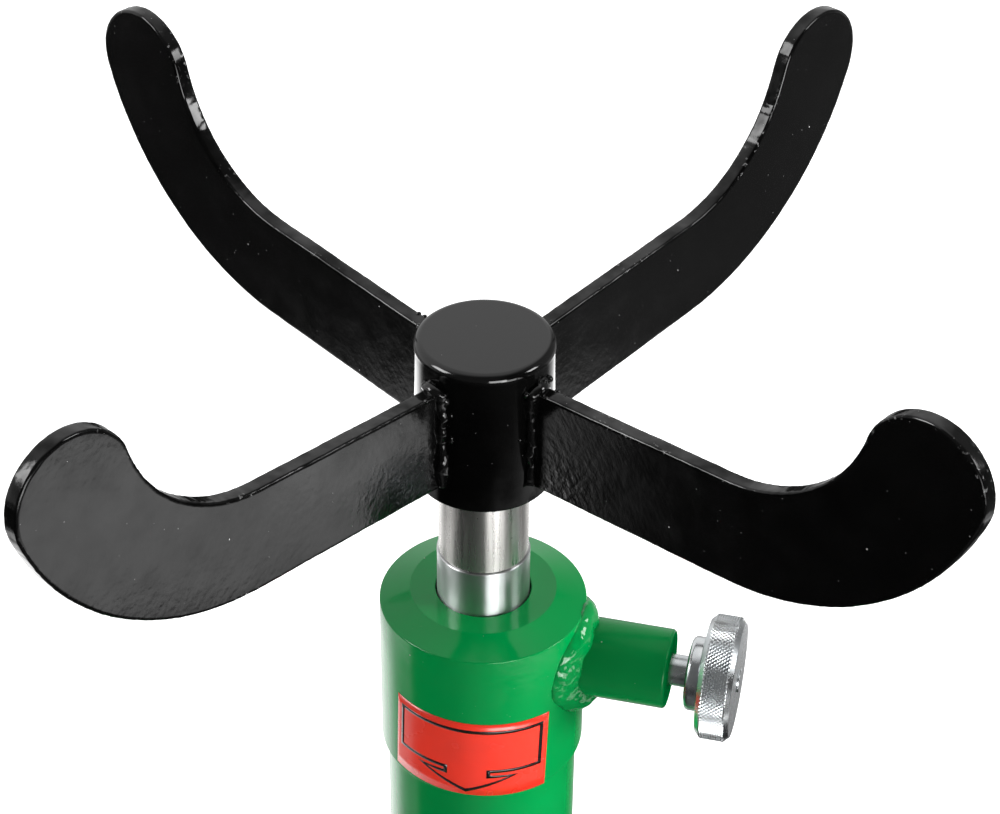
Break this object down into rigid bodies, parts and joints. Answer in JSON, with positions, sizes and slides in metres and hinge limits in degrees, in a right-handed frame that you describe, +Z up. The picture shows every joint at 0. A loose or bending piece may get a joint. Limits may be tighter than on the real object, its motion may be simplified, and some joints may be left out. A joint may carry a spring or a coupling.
{
  "type": "transmission jack",
  "caption": "Floor-standing hydraulic jack with a telescopic ram, a turning hooked saddle, a clamp screw, a foot pump and a cross base on castors.",
  "frame": {"origin": "on the floor, under the ram's axis", "axes": "+Z up along the ram, -Y towards the foot pump, +X to the side of the clamp screw"},
  "size_m": [0.5692, 0.5692, 1.15],
  "materials": {
    "green_paint": "gloss",
    "black_paint": "gloss",
    "turned_steel": "brushed",
    "chrome": "polished",
    "zinc": "satin",
    "bronze": "satin",
    "rubber": "matte",
    "nylon": "satin",
    "black_plastic": "satin",
    "red_label": "gloss"
  },
  "bodies": {
    "base": {"base_plate": "green_paint", "leg_back_right": "green_paint", "leg_back_left": "green_paint", "leg_front_left": "green_paint", "leg_front_right": "green_paint", "leg_end_caps": "black_plastic", "leg_bolts": "zinc", "castor_stems": "zinc", "pump_block": "green_paint", "block_screws": "zinc", "pressure_cylinder": "turned_steel", "reservoir_tube": "green_paint", "tube_gaskets": "bronze", "collar": "green_paint", "guide_bush": "bronze", "rod_seal": "rubber", "wiper_seal": "rubber", "clamp_boss": "green_paint", "boss_weld": "green_paint", "collar_label": "red_label", "carry_handle": "black_paint", "handle_grip": "rubber", "filler_plug": "zinc", "pump_gland_nut": "zinc", "pump_seal": "rubber", "check_balls": "chrome", "valve_plugs": "zinc", "pedal_bracket": "green_paint", "pedal_pivot_pin": "zinc", "pump_spring": "zinc"},
    "ram": {"ram": "chrome", "piston": "turned_steel", "piston_seal": "rubber", "piston_nut": "turned_steel", "stop_sleeve": "turned_steel"},
    "saddle": {"saddle_hub": "black_paint", "saddle_arm_back_right": "black_paint", "saddle_arm_back_left": "black_paint", "saddle_arm_front_left": "black_paint", "saddle_arm_front_right": "black_paint", "saddle_welds": "black_paint", "saddle_stem": "turned_steel"},
    "clamp_pad": {"clamp_pad": "bronze"},
    "clamp_screw": {"clamp_screw": "zinc", "clamp_knob": "zinc"},
    "plunger": {"pump_plunger": "chrome"},
    "pedal": {"pedal_lever": "black_paint", "pedal_pad": "rubber"},
    "release_ball": {"release_ball": "chrome"},
    "release_valve": {"release_spindle": "zinc", "release_knob": "black_plastic"},
    "castor_fork_back_right": {"castor_fork_back_right": "zinc"},
    "castor_wheel_back_right": {"castor_wheel_back_right": "nylon"},
    "castor_fork_back_left": {"castor_fork_back_left": "zinc"},
    "castor_wheel_back_left": {"castor_wheel_back_left": "nylon"},
    "castor_fork_front_left": {"castor_fork_front_left": "zinc"},
    "castor_wheel_front_left": {"castor_wheel_front_left": "nylon"},
    "castor_fork_front_right": {"castor_fork_front_right": "zinc"},
    "castor_wheel_front_right": {"castor_wheel_front_right": "nylon"}
  },
  "joints": [
    {"name": "ram_lift", "type": "slide", "parent": "base", "child": "ram", "axis": [0, 0, 1], "range_m": [0, 0.657]},
    {"name": "saddle_swivel", "type": "hinge", "parent": "ram", "child": "saddle", "pos_m": [0, 0, 0.999], "axis": [0, 0, 1], "continuous": true},
    {"name": "clamp_advance", "type": "slide", "parent": "base", "child": "clamp_pad", "axis": [0.9627, -0.2706, 0], "range_m": [0, 0.00525]},
    {"name": "clamp_turn", "type": "hinge", "parent": "clamp_pad", "child": "clamp_screw", "pos_m": [0.07702, -0.02165, 0.95397], "axis": [0.9627, -0.2706, 0], "range_deg": [0, 1080]},
    {"name": "pedal_press", "type": "hinge", "parent": "base", "child": "pedal", "pos_m": [0, -0.05607, 0.26756], "axis": [1, 0, 0], "range_deg": [0, 25], "stiffness_Nm_per_rad": 15, "springref_deg": -22.92},
    {"name": "pump_stroke", "type": "slide", "parent": "base", "child": "plunger", "axis": [0, 0, -1], "range_m": [0, 0.0195], "deforming": ["pump_spring"]},
    {"name": "release_open", "type": "slide", "parent": "base", "child": "release_ball", "axis": [1, 0, 0], "range_m": [0, 0.0015]},
    {"name": "release_turn", "type": "hinge", "parent": "release_ball", "child": "release_valve", "pos_m": [0.07, 0, 0.1703], "axis": [1, 0, 0], "range_deg": [0, 360]},
    {"name": "castor_swivel_back_right", "type": "hinge", "parent": "base", "child": "castor_fork_back_right", "pos_m": [0.23334, 0.23334, 0.088], "axis": [0, 0, 1], "continuous": true},
    {"name": "castor_roll_back_right", "type": "hinge", "parent": "castor_fork_back_right", "child": "castor_wheel_back_right", "pos_m": [0.25102, 0.25102, 0.0375], "axis": [-0.7071, 0.7071, 0], "continuous": true},
    {"name": "castor_swivel_back_left", "type": "hinge", "parent": "base", "child": "castor_fork_back_left", "pos_m": [-0.23334, 0.23334, 0.088], "axis": [0, 0, 1], "continuous": true},
    {"name": "castor_roll_back_left", "type": "hinge", "parent": "castor_fork_back_left", "child": "castor_wheel_back_left", "pos_m": [-0.25102, 0.25102, 0.0375], "axis": [-0.7071, -0.7071, 0], "continuous": true},
    {"name": "castor_swivel_front_left", "type": "hinge", "parent": "base", "child": "castor_fork_front_left", "pos_m": [-0.23334, -0.23334, 0.088], "axis": [0, 0, 1], "continuous": true},
    {"name": "castor_roll_front_left", "type": "hinge", "parent": "castor_fork_front_left", "child": "castor_wheel_front_left", "pos_m": [-0.25102, -0.25102, 0.0375], "axis": [0.7071, -0.7071, 0], "continuous": true},
    {"name": "castor_swivel_front_right", "type": "hinge", "parent": "base", "child": "castor_fork_front_right", "pos_m": [0.23334, -0.23334, 0.088], "axis": [0, 0, 1], "continuous": true},
    {"name": "castor_roll_front_right", "type": "hinge", "parent": "castor_fork_front_right", "child": "castor_wheel_front_right", "pos_m": [0.25102, -0.25102, 0.0375], "axis": [0.7071, 0.7071, 0], "continuous": true}
  ],
  "couplings": [
    {"joint": "clamp_turn", "follows": "clamp_advance", "rad_per_m": 3590.4},
    {"joint": "pump_stroke", "follows": "pedal_press", "m_per_rad": 0.044644},
    {"joint": "release_turn", "follows": "release_open", "rad_per_m": 4188.8}
  ]
}
